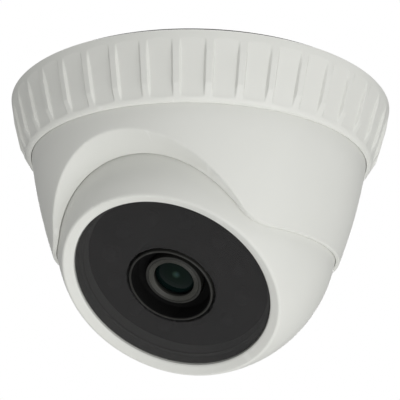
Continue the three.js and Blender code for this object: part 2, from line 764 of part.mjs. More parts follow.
function standoffs() {
  const low = SENSOR_BOARD.top + GAP;
  const high = LED_BOARD.bottom - GAP;
  const { radius, thread, threadDepth } = STANDOFF;
  const threadTop = low + threadDepth;
  const bore = [[0, threadTop], [thread, threadTop], [thread, low]];
  const outline = [...bore, [radius, low], [radius, high], [0, high]];
  return STANDOFF_PLACES.map(([x, y], i) => {
    return at(named(`board_standoff_${i + 1}`, turned(outline, 6), "brass"), x, y, 0);
  });
}

function standoffScrews() {
  return STANDOFF_PLACES.map(([x, y], i) => {
    const shape = screwShape(STANDOFF_SCREW, 6.5).rotateX(Math.PI);
    return at(named(`standoff_screw_${i + 1}`, shape, "steel"), x, y, SENSOR_BOARD.bottom - GAP);
  });
}

function imageSensor() {
  const low = SENSOR_BOARD.top + GAP;
  return named("image_sensor", block([-4, -3.5, low], [4, 3.5, low + 1.1]), "chip");
}

function boardConnector() {
  const high = SENSOR_BOARD.bottom - GAP;
  return at(named("board_connector", block([-5, -2, high - 4], [5, 2, high]), "whitePlastic"), 0, -8, 0);
}

// ---- Assembly -----------------------------------------------------------------------------------

const base = new THREE.Group();
base.add(basePlate(), baseGasket(), cableGrommet(), panFrictionRing());

const dome = new THREE.Group();
dome.add(domeHousing(), eyeballRetainer(), ...retainerScrews());

const lens = new THREE.Group();
lens.add(lensBarrel(), lensRetainingRing(), lensFrontGlass(), lensRearGlass());

const filter = new THREE.Group();
filter.add(...filterParts());

const eyeball = new THREE.Group();
eyeball.position.z = BALL_Z;
eyeball.rotation.x = Math.PI / 2 + FACE_PITCH;
eyeball.add(eyeballFrontShell(), eyeballRearCover(), ...coverScrews(), ...pivotPins());
eyeball.add(frontWindow(), windowSeal(), lensShroud());
eyeball.add(ledBoard(), ...infraredLeds(), lightSensor(), ...boardScrews());
eyeball.add(lensHolder(), lensLockNut(), filterActuator());
eyeball.add(sensorBoard(), ...standoffs(), ...standoffScrews(), imageSensor(), boardConnector());
eyeball.add(lens, filter);

const camera = new THREE.Group();
camera.add(base, lockingRing(), dome, eyeball);

export default camera;
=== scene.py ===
import json
import math

import bmesh
import bpy
from mathutils import Matrix, Vector


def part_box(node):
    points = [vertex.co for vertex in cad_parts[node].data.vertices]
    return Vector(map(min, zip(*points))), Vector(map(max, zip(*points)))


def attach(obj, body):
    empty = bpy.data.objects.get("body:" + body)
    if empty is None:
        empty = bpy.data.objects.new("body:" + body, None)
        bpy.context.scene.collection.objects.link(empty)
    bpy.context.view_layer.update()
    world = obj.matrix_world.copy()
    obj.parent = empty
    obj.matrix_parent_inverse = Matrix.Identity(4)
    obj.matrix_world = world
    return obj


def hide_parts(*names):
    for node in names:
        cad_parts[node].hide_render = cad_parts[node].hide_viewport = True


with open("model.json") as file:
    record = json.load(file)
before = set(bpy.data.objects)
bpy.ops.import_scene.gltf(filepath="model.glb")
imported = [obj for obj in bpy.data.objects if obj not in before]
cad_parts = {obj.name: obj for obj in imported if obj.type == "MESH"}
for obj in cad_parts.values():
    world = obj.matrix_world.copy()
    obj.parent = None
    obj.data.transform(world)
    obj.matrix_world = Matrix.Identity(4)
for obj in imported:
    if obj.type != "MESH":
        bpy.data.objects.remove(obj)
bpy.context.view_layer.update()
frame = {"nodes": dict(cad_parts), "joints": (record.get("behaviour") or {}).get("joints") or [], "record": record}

# Ceiling dome camera. Lengths in outlines are millimetres, and MM turns them into scene metres.
MM = 0.001
ROW = Matrix.Scale(MM, 4)
JOINTS = {joint["name"]: joint for joint in frame["joints"]}
BALL_CENTRE = Vector(JOINTS["tilt"]["pos_m"])
FACE_AXIS = Vector(JOINTS["lens_focus"]["axis"]).normalized()


def face_frame():
    """The eyeball's own frame: +Z out of the window, +Y up the face, origin at the ball's centre."""
    across = Vector((1, 0, 0))
    up = FACE_AXIS.cross(across)
    turn = Matrix((across, up, FACE_AXIS)).transposed().to_4x4()
    return Matrix.Translation(BALL_CENTRE) @ turn @ Matrix.Scale(MM, 4)


FACE = face_frame()
RING_LOW, RING_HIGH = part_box("locking_ring")
HOUSING_LOW, HOUSING_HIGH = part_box("dome_housing")
RING_RADIUS = RING_HIGH.x / MM
RING_TOP = RING_HIGH.z / MM
RING_BOTTOM = RING_LOW.z / MM
RIM_Z = HOUSING_LOW.z / MM
FLANGE_TOP = HOUSING_HIGH.z / MM
BALL_Z = BALL_CENTRE.z / MM
BALL_RADIUS = 34.0
BALL_WALL = 2.0
SEAT_RADIUS = BALL_RADIUS + 0.15
BEVEL_SEGMENTS = 2
BEVEL_CREASE = 40
THREE_WAYS = (90, 210, 330)


# ---- Mesh helpers -----------------------------------------------------------------------------


def mesh_object(name, points, faces, crease=32):
    """A new smooth object, with its creases sharper than an angle in degrees kept sharp."""
    mesh = bpy.data.meshes.new(name)
    mesh.from_pydata([tuple(point) for point in points], [], faces)
    skin = bmesh.new()
    skin.from_mesh(mesh)
    bmesh.ops.remove_doubles(skin, verts=skin.verts, dist=1e-7)
    bmesh.ops.recalc_face_normals(skin, faces=skin.faces)
    skin.to_mesh(mesh)
    skin.free()
    smooth(mesh, crease)
    piece = bpy.data.objects.new(name, mesh)
    bpy.context.scene.collection.objects.link(piece)
    return piece


def smooth(mesh, crease):
    """Smooth faces, with creases sharper than an angle in degrees kept sharp."""
    mesh.polygons.foreach_set("use_smooth", [True] * len(mesh.polygons))
    mesh.set_sharp_from_angle(angle=math.radians(crease))
    mesh.update()


def skin_of(name, columns, place, closed=True, crease=32):
    """Joins columns of points, which go once round, into one skin. A closed column is a loop."""
    count = len(columns[0])
    points = [place @ Vector(point) for column in columns for point in column]
    faces = []
    for i in range(len(columns)):
        j = (i + 1) % len(columns)
        for k in range(count if closed else count - 1):
            after = (k + 1) % count
            faces.append((i * count + k, i * count + after, j * count + after, j * count + k))
    return mesh_object(name, points, faces, crease)


def around(radius, z, angle):
    """The point at a radius and height, at an angle in radians about Z."""
    return (radius * math.cos(angle), radius * math.sin(angle), z)


def lathe(name, outline, segments, place, crease=32):
    """Turns an outline of (radius, z) points about Z. It closes on itself unless it ends on the axis."""
    closed = outline[0][0] > 0 or outline[-1][0] > 0
    angles = [math.tau * i / segments for i in range(segments)]
    columns = [[around(radius, z, angle) for radius, z in outline] for angle in angles]
    return skin_of(name, columns, place, closed, crease)


def rounded(corners, steps=4, closed=True):
    """Swaps each (radius, z, fillet) corner for a small arc."""
    outline = []
    count = len(corners)
    for i, corner in enumerate(corners):
        here = Vector(corner[:2])
        fillet = corner[2] if len(corner) > 2 else 0
        inside = closed or 0 < i < count - 1
        if not fillet or not inside:
            outline.append(tuple(here))
            continue
        before = Vector(corners[i - 1][:2]) - here
        after = Vector(corners[(i + 1) % count][:2]) - here
        half = before.angle(after) / 2
        reach = min(fillet / math.tan(half), before.length * 0.48, after.length * 0.48)
        start = here + before.normalized() * reach
        end = here + after.normalized() * reach
        for step in range(steps + 1):
            t = step / steps
            point = start * (1 - t) ** 2 + here * 2 * t * (1 - t) + end * t ** 2
            outline.append(tuple(point))
    return outline


def arc(radius, start, end, steps, centre=(0, 0)):
    """Points of an arc in the (radius, z) plane, between two angles in degrees."""
    points = []
    for step in range(steps + 1):
        angle = math.radians(start + (end - start) * step / steps)
        points.append((centre[0] + radius * math.cos(angle), centre[1] + radius * math.sin(angle)))
    return points


def baked(piece):
    """Applies the piece's modifiers."""
    graph = bpy.context.evaluated_depsgraph_get()
    mesh = bpy.data.meshes.new_from_object(piece.evaluated_get(graph))
    piece.modifiers.clear()
    piece.data = mesh
    return piece


def carved(piece, tools):
    """Cuts the tools out of the piece and removes them."""
    for tool in tools:
        cut = piece.modifiers.new(tool.name, "BOOLEAN")
        cut.operation = "DIFFERENCE"
        cut.object = tool
        cut.solver = "EXACT"
    baked(piece)
    for tool in tools:
        bpy.data.objects.remove(tool)
    return piece


def bevelled(piece, width, angle=35):
    """Rounds the edges that turn by more than an angle in degrees, to a width in millimetres."""
    bevel = piece.modifiers.new("edges", "BEVEL")
    bevel.width = width * MM
    bevel.segments = BEVEL_SEGMENTS
    bevel.limit_method = "ANGLE"
    bevel.angle_limit = math.radians(angle)
    bevel.use_clamp_overlap = True
    baked(piece)
    smooth(piece.data, BEVEL_CREASE)
    return piece


def prism(name, outline, bottom, top, place):
    """A closed outline of (x, y) points, raised from bottom to top."""
    count = len(outline)
    points = [place @ Vector((x, y, z)) for z in (bottom, top) for x, y in outline]
    faces = [tuple(range(count - 1, -1, -1)), tuple(range(count, 2 * count))]
    for i in range(count):
        j = (i + 1) % count
        faces.append((i, j, count + j, count + i))
    return mesh_object(name, points, faces)


def placed(angle, y):
    """A place at a distance y from the camera's axis, turned about that axis by an angle in degrees."""
    return ROW @ Matrix.Rotation(math.radians(angle), 4, "Z") @ Matrix.Translation((0, y, 0))


def hole_outline(radius, sides):
    """A circle of this many equal sides."""
    return arc(radius, 0, 360 - 360 / sides, sides - 1)


def slot_outline(length, width):
    half = (length - width) / 2
    right = arc(width / 2, -90, 90, 12, (half, 0))
    left = arc(width / 2, 90, 270, 12, (-half, 0))
    return right + left


def sector_outline(inner, outer, middle, half_span):
    start, end = middle - half_span, middle + half_span
    return arc(outer, start, end, 10) + arc(inner, end, start, 10)


def edge_angle(radius, curve):
    """Angle in degrees at which an arc about the axis reaches a distance from it."""
    return math.degrees(math.acos(radius / curve))


# ---- Materials --------------------------------------------------------------------------------


class Finish:
    """A procedural material: object coordinates feed noise for colour, roughness and fine relief."""

    def __init__(self, name):
        self.material = bpy.data.materials.new(name)
        self.material.use_nodes = True
        self.tree = self.material.node_tree
        self.shader = self.tree.nodes["Principled BSDF"]
        self.coordinates = self.tree.nodes.new("ShaderNodeTexCoord").outputs["Object"]

    def link(self, source, target):
        self.tree.links.new(source, target)

    def set(self, **values):
        for socket, value in values.items():
            self.shader.inputs[socket.replace("_", " ")].default_value = value
        return self

    def noise(self, per_mm, detail=3.0):
        """Noise between 0 and 1, with this many features in a millimetre."""
        node = self.tree.nodes.new("ShaderNodeTexNoise")
        node.inputs["Scale"].default_value = per_mm / MM
        node.inputs["Detail"].default_value = detail
        self.link(self.coordinates, node.inputs["Vector"])
        return node.outputs["Fac"]

    def ranged(self, source, low, high, from_low=0.3, from_high=0.7):
        node = self.tree.nodes.new("ShaderNodeMapRange")
        node.inputs["From Min"].default_value = from_low
        node.inputs["From Max"].default_value = from_high
        node.inputs["To Min"].default_value = low
        node.inputs["To Max"].default_value = high
        self.link(source, node.inputs["Value"])
        return node.outputs["Result"]

    def mixed(self, factor, first, second):
        node = self.tree.nodes.new("ShaderNodeMix")
        node.data_type = "RGBA"
        self.link(factor, node.inputs["Factor"])
        for socket, value in ((node.inputs[6], first), (node.inputs[7], second)):
            if isinstance(value, tuple):
                socket.default_value = (*value, 1)
            else:
                self.link(value, socket)
        return node.outputs[2]

    def colour(self, first, second, per_mm, detail=3.0):
        """Base colour that drifts between two colours."""
        blend = self.mixed(self.ranged(self.noise(per_mm, detail), 0, 1), first, second)
        self.link(blend, self.shader.inputs["Base Color"])
        return blend

    def lighter_edges(self, base, edge, amount):
        """Lighter edges, where the surface turns sharply."""
        geometry = self.tree.nodes.new("ShaderNodeNewGeometry")
        mask = self.ranged(geometry.outputs["Pointiness"], 0, amount, 0.52, 0.62)
        self.link(self.mixed(mask, base, edge), self.shader.inputs["Base Color"])

    def rough(self, low, high, per_mm):
        self.link(self.ranged(self.noise(per_mm), low, high), self.shader.inputs["Roughness"])
        return self

    def relief(self, per_mm, depth, detail=2.0):
        """Fine moulded grain, with its depth in millimetres."""
        bump = self.tree.nodes.new("ShaderNodeBump")
        bump.inputs["Strength"].default_value = 1.0
        bump.inputs["Distance"].default_value = depth * MM
        self.link(self.noise(per_mm, detail), bump.inputs["Height"])
        self.link(bump.outputs["Normal"], self.shader.inputs["Normal"])
        return self


def white_plastic():
    finish = Finish("white_plastic").set(IOR=1.5, Specular_IOR_Level=0.45)
    base = finish.colour((0.80, 0.805, 0.765), (0.77, 0.776, 0.735), 0.04)
    finish.lighter_edges(base, (0.86, 0.865, 0.83), 0.6)
    return finish.rough(0.36, 0.46, 0.25).relief(3.5, 0.004)


def black_plastic():
    finish = Finish("black_plastic").set(IOR=1.5)
    base = finish.colour((0.013, 0.013, 0.013), (0.02, 0.02, 0.02), 0.2)
    finish.lighter_edges(base, (0.05, 0.05, 0.05), 0.5)
    return finish.rough(0.34, 0.48, 0.6).relief(4.0, 0.004)


def dark_plastic():
    finish = Finish("dark_plastic").set(IOR=1.5)
    base = finish.colour((0.045, 0.045, 0.04), (0.06, 0.06, 0.054), 0.2)
    finish.lighter_edges(base, (0.12, 0.12, 0.11), 0.5)
    return finish.rough(0.34, 0.46, 0.5).relief(4.0, 0.003)


def lens_face():
    """Blackened metal of the lens's front ring."""
    finish = Finish("lens_face").set(IOR=1.5, Specular_IOR_Level=0.35)
    base = finish.colour((0.036, 0.036, 0.031), (0.046, 0.046, 0.040), 0.3)
    finish.lighter_edges(base, (0.09, 0.09, 0.08), 0.4)
    return finish.rough(0.38, 0.5, 0.8).relief(6.0, 0.002)


def lens_black():
    finish = Finish("lens_black").set(IOR=1.5, Specular_IOR_Level=0.25)
    base = finish.colour((0.022, 0.022, 0.020), (0.03, 0.03, 0.027), 0.3)
    finish.lighter_edges(base, (0.07, 0.07, 0.065), 0.4)
    return finish.rough(0.4, 0.52, 0.8).relief(6.0, 0.002)


def matt_black_painted_shade():
    """Dead matt black that keeps stray light out of the lens. It is darker and duller than the tube's own black
    plastic: partly that real black, partly painted shade of the deep recess.
    """
    finish = Finish("matt_black_painted_shade").set(IOR=1.4, Specular_IOR_Level=0.08)
    finish.colour((0.0045, 0.0045, 0.0045), (0.007, 0.007, 0.007), 0.3)
    return finish.rough(0.7, 0.85, 1.0).relief(3.0, 0.01)


def smoked_window():
    finish = Finish("smoked_window").set(IOR=1.45, Alpha=0.6, Specular_IOR_Level=0.4)
    finish.colour((0.021, 0.021, 0.0215), (0.026, 0.0245, 0.025), 0.05)
    return finish.rough(0.03, 0.07, 0.1)


def foam():
    """Closed-cell foam."""
    finish = Finish("foam").set(Specular_IOR_Level=0.2)
    finish.colour((0.022, 0.022, 0.022), (0.05, 0.05, 0.048), 2.0)
    return finish.rough(0.85, 0.98, 1.0).relief(2.5, 0.08, 3.0)


def rubber():
    finish = Finish("rubber").set(Specular_IOR_Level=0.3)
    finish.colour((0.018, 0.018, 0.018), (0.028, 0.028, 0.027), 0.6)
    return finish.rough(0.6, 0.78, 0.8).relief(4.0, 0.01)


def silicone():
    """Pale rubber of the seal under the window."""
    finish = Finish("silicone").set(Specular_IOR_Level=0.3)
    finish.colour((0.62, 0.62, 0.60), (0.56, 0.56, 0.54), 0.5)
    return finish.rough(0.5, 0.65, 0.8).relief(4.0, 0.006)


def circuit_board(name, first, second):
    finish = Finish(name).set(Specular_IOR_Level=0.3)
    finish.colour(first, second, 0.3)
    return finish.rough(0.5, 0.6, 0.3).relief(0.4, 0.01)


def inner_glass():
    finish = Finish("inner_glass").set(IOR=1.5, Specular_IOR_Level=0.5)
    finish.colour((0.004, 0.016, 0.008), (0.010, 0.028, 0.026), 0.25)
    return finish.rough(0.02, 0.05, 0.3)


# Centre of the painted highlight on the front glass, up and right of its middle.
PAINTED_HIGHLIGHT_CENTRE = (0.9, 1.1, 17.5)


def glass_with_painted_reflections():
    """Dark glass with painted reflections: a small painted highlight, green near the middle, where the inner
    elements would shine, and a painted reflection tint that turns bluer outside.
    """
    finish = Finish("glass").set(IOR=1.5, Specular_IOR_Level=0.08)
    reach = finish.tree.nodes.new("ShaderNodeVectorMath")
    reach.operation = "DISTANCE"
    reach.inputs[1].default_value = FACE @ Vector(PAINTED_HIGHLIGHT_CENTRE)
    finish.link(finish.coordinates, reach.inputs[0])
    distance = reach.outputs["Value"]
    # Painted reflection tint: green near the painted highlight, bluer further out.
    past_middle = finish.ranged(distance, 0, 1, 1.6 * MM, 5.0 * MM)
    # The painted highlight itself: a small greenish spot about a millimetre across.
    past_painted_highlight = finish.ranged(distance, 0, 1, 0.3 * MM, 1.1 * MM)
    body = finish.mixed(past_middle, (0.0012, 0.0062, 0.0040), (0.0022, 0.0062, 0.0060))
    drift = finish.ranged(finish.noise(0.8), 0, 1)
    painted_highlight = finish.mixed(drift, (0.020, 0.042, 0.024), (0.022, 0.044, 0.044))
    finish.link(finish.mixed(past_painted_highlight, painted_highlight, body), finish.shader.inputs["Base Color"])
    return finish.rough(0.02, 0.05, 0.3)


def led_epoxy():
    finish = Finish("led").set(IOR=1.52, Coat_Weight=0.5)
    finish.colour((0.03, 0.03, 0.036), (0.055, 0.05, 0.06), 0.8)
    return finish.rough(0.08, 0.16, 0.8)


def metal(name, first, second, low, high):
    finish = Finish(name).set(Metallic=1.0)
    base = finish.colour(first, second, 0.8, 5.0)
    finish.lighter_edges(base, tuple(min(1.0, value * 1.3) for value in first), 0.6)
    return finish.rough(low, high, 2.0).relief(5.0, 0.003)


def chip_package():
    finish = Finish("chip").set(IOR=1.5)
    finish.colour((0.018, 0.018, 0.02), (0.03, 0.03, 0.032), 0.6)
    return finish.rough(0.3, 0.5, 1.0).relief(5.0, 0.004)


FINISHES = {
    "white_plastic": white_plastic(),
    "black_plastic": black_plastic(),
    "dark_plastic": dark_plastic(),
    "smoked_window": smoked_window(),
    "foam": foam(),
    "rubber": rubber(),
    "silicone": silicone(),
    "board": circuit_board("board", (0.008, 0.06, 0.025), (0.014, 0.09, 0.035)),
    "black_board": circuit_board("black_board", (0.008, 0.009, 0.009), (0.016, 0.017, 0.017)),
    "lens_face": lens_face(),
    "lens_black": lens_black(),
    "matt_black_painted_shade": matt_black_painted_shade(),
    "glass": glass_with_painted_reflections(),
    "inner_glass": inner_glass(),
    "led": led_epoxy(),
    "steel": metal("steel", (0.56, 0.56, 0.57), (0.44, 0.44, 0.45), 0.24, 0.4),
    "brass": metal("brass", (0.52, 0.37, 0.13), (0.40, 0.28, 0.09), 0.26, 0.42),
    "chip": chip_package(),
}
SLOTS = {part["node"]: part["material_slot"] for part in frame["record"]["subparts"]}


def body_of_node(node):
    bodies = frame["record"]["behaviour"]["bodies"]
    return next(body for body, members in bodies.items() if node in members)


def paint(piece, slot):
    piece.data.materials.clear()
    piece.data.materials.append(FINISHES[slot].material)


def stand_in(piece, node):
    """The finished piece takes the place of a plain CAD node: its body, its slot and its finish."""
    paint(piece, SLOTS[node])
    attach(piece, body_of_node(node))
    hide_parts(node)
    return piece


def added(piece, body, slot, finish=None):
    """A finished piece that has no CAD node of its own."""
    paint(piece, finish or slot)
    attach(piece, body)


# ---- Base -------------------------------------------------------------------------------------

PLATE_THICKNESS = 2.0
PLATE_STEP = 35.7
PLATE_RADIUS = 42.25
SKIRT = (39.4, 41.4, -9.6)
CABLE_HOLE_Y = 18
CABLE_HOLE_RADIUS = 5.6
SCREW_SLOT_ANGLES = (-90, 30, 150)
SCREW_SLOT_Y = -29
SCREW_SLOT = (11, 4.5)
SCREW_RECESS = (15, 8.5)
RECESS_DEPTH = 0.6
POCKET_DEPTH = 0.5
POCKET_ANGLES = [135 + 45 * i for i in range(7)]
CUT_BOTTOM, CUT_TOP = -5, 1


def base_plate():
    under = RING_TOP - PLATE_THICKNESS
    inner, outer, bottom = SKIRT
    outline = rounded([
        (0, -PLATE_THICKNESS),
        (PLATE_STEP - 1, -PLATE_THICKNESS),
        (PLATE_STEP, under),
        (inner, under, 0.4),
        (inner, bottom, 0.3),
        (outer, bottom, 0.3),
        (outer, under, 0.4),
        (PLATE_RADIUS, under, 0.4),
        (PLATE_RADIUS, RING_TOP, 0.4),
        (PLATE_STEP, RING_TOP, 0.2),
        (PLATE_STEP, 0, 0.35),
        (0, 0),
    ], closed=False)
    plate = lathe("base_plate_fine", outline, 160, ROW)
    hole = hole_outline(CABLE_HOLE_RADIUS, 36)
    tools = [prism("cable_hole", hole, CUT_BOTTOM, CUT_TOP, placed(0, CABLE_HOLE_Y))]
    for angle in SCREW_SLOT_ANGLES:
        place = placed(angle + 90, SCREW_SLOT_Y)
        tools.append(prism("screw_slot", slot_outline(*SCREW_SLOT), CUT_BOTTOM, CUT_TOP, place))
        tools.append(prism("screw_recess", slot_outline(*SCREW_RECESS), -RECESS_DEPTH, CUT_TOP, place))
    for angle in POCKET_ANGLES:
        tools.append(prism("pocket", sector_outline(11, 22, angle, 18), -POCKET_DEPTH, CUT_TOP, ROW))
    return stand_in(bevelled(carved(plate, tools), 0.22), "base_plate")


def base_gasket():
    inner, outer, bottom = 36.0, 45.15, -0.7
    outline = rounded([(inner, bottom, 0.12), (outer, bottom, 0.2), (outer, 0, 0.2), (inner, 0, 0.12)])
    return stand_in(lathe("base_gasket_fine", outline, 240, ROW), "base_gasket")


def cable_grommet():
    bore, neck, flange = 3.5, 5.3, 7.2
    bottom, flange_top, top = -3.2, -2.3, -0.4
    outline = rounded([
        (bore, bottom, 0.4),
        (flange, bottom, 0.4),
        (flange, flange_top, 0.2),
        (neck, flange_top, 0.1),
        (neck, top, 0.3),
        (bore, top, 0.4),
    ])
    return stand_in(lathe("cable_grommet_fine", outline, 64, placed(0, CABLE_HOLE_Y)), "cable_grommet")


# ---- Locking ring -----------------------------------------------------------------------------

FLUTES = 40
FIRST_RIB = math.radians(2.3)
RIB_HALF_WIDTH = 0.66
FLANK = 0.56
PANEL_TOP = 1.7
PANEL_BOTTOM = 13.9
RIB_PROFILE = [(0, 46.5), (0.1, 46.76), (0.35, 46.95), (1.2, 46.8), (1.7, 46.7), (4.85, 46.1), (11.25, 44.2),
               (13.75, 42.6), (14.2, 42.3), (14.5, 42.02), (14.66, 41.76), (14.71, 41.5)]
PANEL_PROFILE = [(PANEL_TOP, 46.7), (4.85, 45.42), (11.25, 43.38), (PANEL_BOTTOM, 42.42)]
LIP_INNER = 41.12
RING_BORE = 42.6
LIP_TOP = -13.0
PANEL_FLATNESS = 0.8  # 1 is a flat panel between two ribs, and 0 is a round one
CREASED_TO = 13.4  # depth past which the rib's profile has its own round points


def along_profile(profile, depth):
    """Radius at a depth, on straight lines between the profile's points."""
    for (d0, r0), (d1, r1) in zip(profile, profile[1:]):
        if depth <= d1:
            return r0 + (r1 - r0) * (depth - d0) / (d1 - d0)
    return profile[-1][1]


def soft_crease(profile, depth, reach=0.3):
    """The profile with its creases rounded over a short reach."""
    samples = [along_profile(profile, max(0, depth + reach * k / 2)) for k in (-1, -0.5, 0, 0.5, 1)]
    return sum(samples) / len(samples)


def smooth_step(t):
    t = min(1, max(0, t))
    return t * t * (3 - 2 * t)


def ring_radius(depth, offset, pitch):
    """Outside radius at a depth below the top and an arc distance from the middle of the nearest rib."""
    rib_radius = soft_crease if PANEL_TOP < depth < CREASED_TO else along_profile
    rib = rib_radius(RIB_PROFILE, depth)
    if not PANEL_TOP < depth < PANEL_BOTTOM:
        return rib
    past_rib = (abs(offset) - RIB_HALF_WIDTH) / FLANK
    flat = 1 / math.cos(pitch / 2 - abs(offset) / RING_RADIUS) - 1
    panel = min(rib, soft_crease(PANEL_PROFILE, depth, 1.5) * (1 + flat * PANEL_FLATNESS))
    return rib + (panel - rib) * smooth_step(past_rib)


def locking_ring():
    pitch = math.tau / FLUTES
    gap = RING_RADIUS * pitch
    across = [0, 0.08, 0.2, 0.35, 0.5, 0.65, 0.8, 0.92, 1]
    near = [0, 0.35, 0.55, *(RIB_HALF_WIDTH + FLANK * step for step in across), 1.4, 1.9, 2.6, gap / 2]
    offsets = [-value for value in near[-2:0:-1]] + near
    depths = [
        0, 0.05, 0.1, 0.2, 0.35, 0.6, 0.9, 1.2, 1.5, 1.64, 1.7, 1.78, 1.95, 2.3, 2.8, 3.4, 4, 4.4,
        4.65, 4.85, 5.05, 5.3, 6, 7, 8, 9, 10, 10.7, 11, 11.25, 11.5, 11.8, 12.2, 12.7, 13.1, 13.5,
        13.75, 13.9, 14.05, 14.2, 14.35, 14.5, 14.6, 14.66, 14.71,
    ]
    inside = rounded([
        (LIP_INNER + 0.05, RING_BOTTOM, 0.12),
        (LIP_INNER, LIP_TOP - 0.2, 0.1),
        (RING_BORE, LIP_TOP, 0.1),
        (RING_BORE, RING_TOP, 0.25),
    ], closed=False)
    columns = []
    for flute in range(FLUTES):
        for offset in offsets:
            angle = FIRST_RIB + flute * pitch + offset / RING_RADIUS
            column = [around(ring_radius(depth, offset, pitch), RING_TOP - depth, angle) for depth in depths]
            column += [around(radius, z, angle) for radius, z in inside]
            columns.append(column)
    return stand_in(skin_of("locking_ring_fine", columns, ROW, crease=50), "locking_ring")


def bayonet(name, body, walls, half_span, heights, edge):
    """Three blocks between two radii and two heights, on the ring's bore or on the base's skirt."""
    for i, middle in enumerate(THREE_WAYS):
        outline = sector_outline(*walls, middle, half_span)
        block = bevelled(prism(f"{name}_{i + 1}", outline, *heights, ROW), edge)
        added(block, body, "white_plastic")


def ring_tabs():
    bayonet("ring_tab", "ring", (41.7, RING_BORE + 0.2), 12, (-6.4, -4.6), 0.25)


def base_lugs():
    bayonet("base_lug", "base", (SKIRT[1] - 0.2, 42.2), 15, (-8.6, -6.8), 0.2)


# ---- Dome housing -----------------------------------------------------------------------------

NECK_RADIUS = 41.0
NECK_TOP = -12.7
TAPER = 0.1778  # slope of the outside just below the ring
BULGE = 0.00427  # how that slope grows with depth, per millimetre
SEAM_LAND = 1.1  # width of the band beside the ball, where there is room for it
COLLAR_Z = -22  # height of the middle point on the inside of the wall

# The opening's arch where it meets the ball, and where it meets the housing's outside.
# Each has a radius, the height of its centre, and the fillet that runs out into the lower rim.
SEAM_ARCH = (26.85, -50.45, 5.5)
EDGE_ARCH = (26.1, -46.4, 5.5)


def housing_radius(z):
    depth = RING_BOTTOM - z
    return NECK_RADIUS - TAPER * depth - BULGE * depth * depth


def seat_radius(z):
    return math.sqrt(SEAT_RADIUS ** 2 - (z - BALL_Z) ** 2)


def arch_height(x, arch):
    """Height of the opening's edge: an arch that runs out into the lower rim."""
    radius, centre, fillet = arch
    fillet_z = RIM_Z + fillet
    spread = math.sqrt((radius + fillet) ** 2 - (fillet_z - centre) ** 2)
    touch = spread * radius / (radius + fillet)
    x = abs(x)
    if x <= touch:
        return centre + math.sqrt(radius ** 2 - x ** 2)
    if x < spread:
        return fillet_z - math.sqrt(fillet ** 2 - (spread - x) ** 2)
    return RIM_Z


def edge_height(radius_at, angle, top, arch):
    """Height at which a surface of revolution meets the opening, at one angle about Z."""
    if math.sin(angle) >= 0:
        return RIM_Z
    low, high = RIM_Z, top
    for _ in range(40):
        middle = (low + high) / 2
        above = middle > arch_height(radius_at(middle) * math.cos(angle), arch)
        low, high = (low, middle) if above else (middle, high)
    return high


def between(start, end, steps):
    """Evenly spaced values from start to end, both included."""
    return [start + (end - start) * step / steps for step in range(steps + 1)]


def housing_column(angle):
    """The housing's section at one angle about Z: flange, outside, edge of the opening, seat, inside."""
    outer_z = edge_height(housing_radius, angle, RING_BOTTOM, EDGE_ARCH)
    seam_z = edge_height(seat_radius, angle, BALL_Z + 16, SEAM_ARCH)
    outer = Vector((housing_radius(outer_z), outer_z))
    seam = Vector((seat_radius(seam_z), seam_z))
    across = outer - seam
    width = across.length
    lip = seam + across.normalized() * min(SEAM_LAND, width * 0.45)
    sag = 0.10 * smooth_step((width - 1.5) / 3)
    lip += Vector((0, sag))
    corners = [(SKIRT[0], FLANGE_TOP, 0.2), (PLATE_RADIUS, FLANGE_TOP, 0.3), (PLATE_RADIUS, NECK_TOP, 0.3)]
    corners.append((NECK_RADIUS, NECK_TOP, 0.15))
    shoulder = outer_z + min(1.8, (RING_BOTTOM - outer_z) * 0.3)
    corners += [(housing_radius(z), z) for z in between(RING_BOTTOM, shoulder, 26)]
    corners.append((outer.x, outer.y, 0.9))
    corners.append((lip.x, lip.y, 0.6))
    corners.append((seam.x, seam.y, 0.28))
    top = max(BALL_Z, seam_z + 1.6)
    corners += [(seat_radius(z), z) for z in between(seam_z + 0.6, top, 10)[1:]]
    wall_z = max(top + 0.8, -30.5)
    corners.append((housing_radius(wall_z) - 2.2, wall_z, 0.3))
    corners.append((housing_radius(COLLAR_Z) - 2.0, max(COLLAR_Z, wall_z + 0.5)))
    corners.append((39.2, RING_BOTTOM))
    return [around(radius, z, angle) for radius, z in rounded(corners, steps=5)]


def dome_housing():
    count = 576
    columns = [housing_column(math.tau * i / count) for i in range(count)]
    return stand_in(skin_of("dome_housing_fine", columns, ROW, crease=50), "dome_housing")


# ---- Eyeball ----------------------------------------------------------------------------------

WINDOW_FRONT = 20.35
WINDOW_BACK = 18.5
WINDOW_RADIUS = 23.55
RIM_OPENING = WINDOW_RADIUS + 0.15
COVER_AXIS = math.radians(165)  # direction of the rear cover, from the face axis towards the top
COVER_SPLIT = 7.0
COVER_FACE = 13.8
BOARD_TOP = 15.1
SHELF_Z = BOARD_TOP + 0.3
LEDGE_Z = 17.4
TRAP_TOP = 16.2
RIM_START = 26.3


def split_angle(around_face, radius, distance):
    """Angle from the face axis at which the rear cover's plane cuts a sphere."""
    forward = math.cos(COVER_AXIS)
    upward = math.sin(COVER_AXIS) * math.sin(around_face)
    size = math.hypot(forward, upward)
    return math.atan2(upward, forward) % math.tau - math.acos(distance / radius / size)


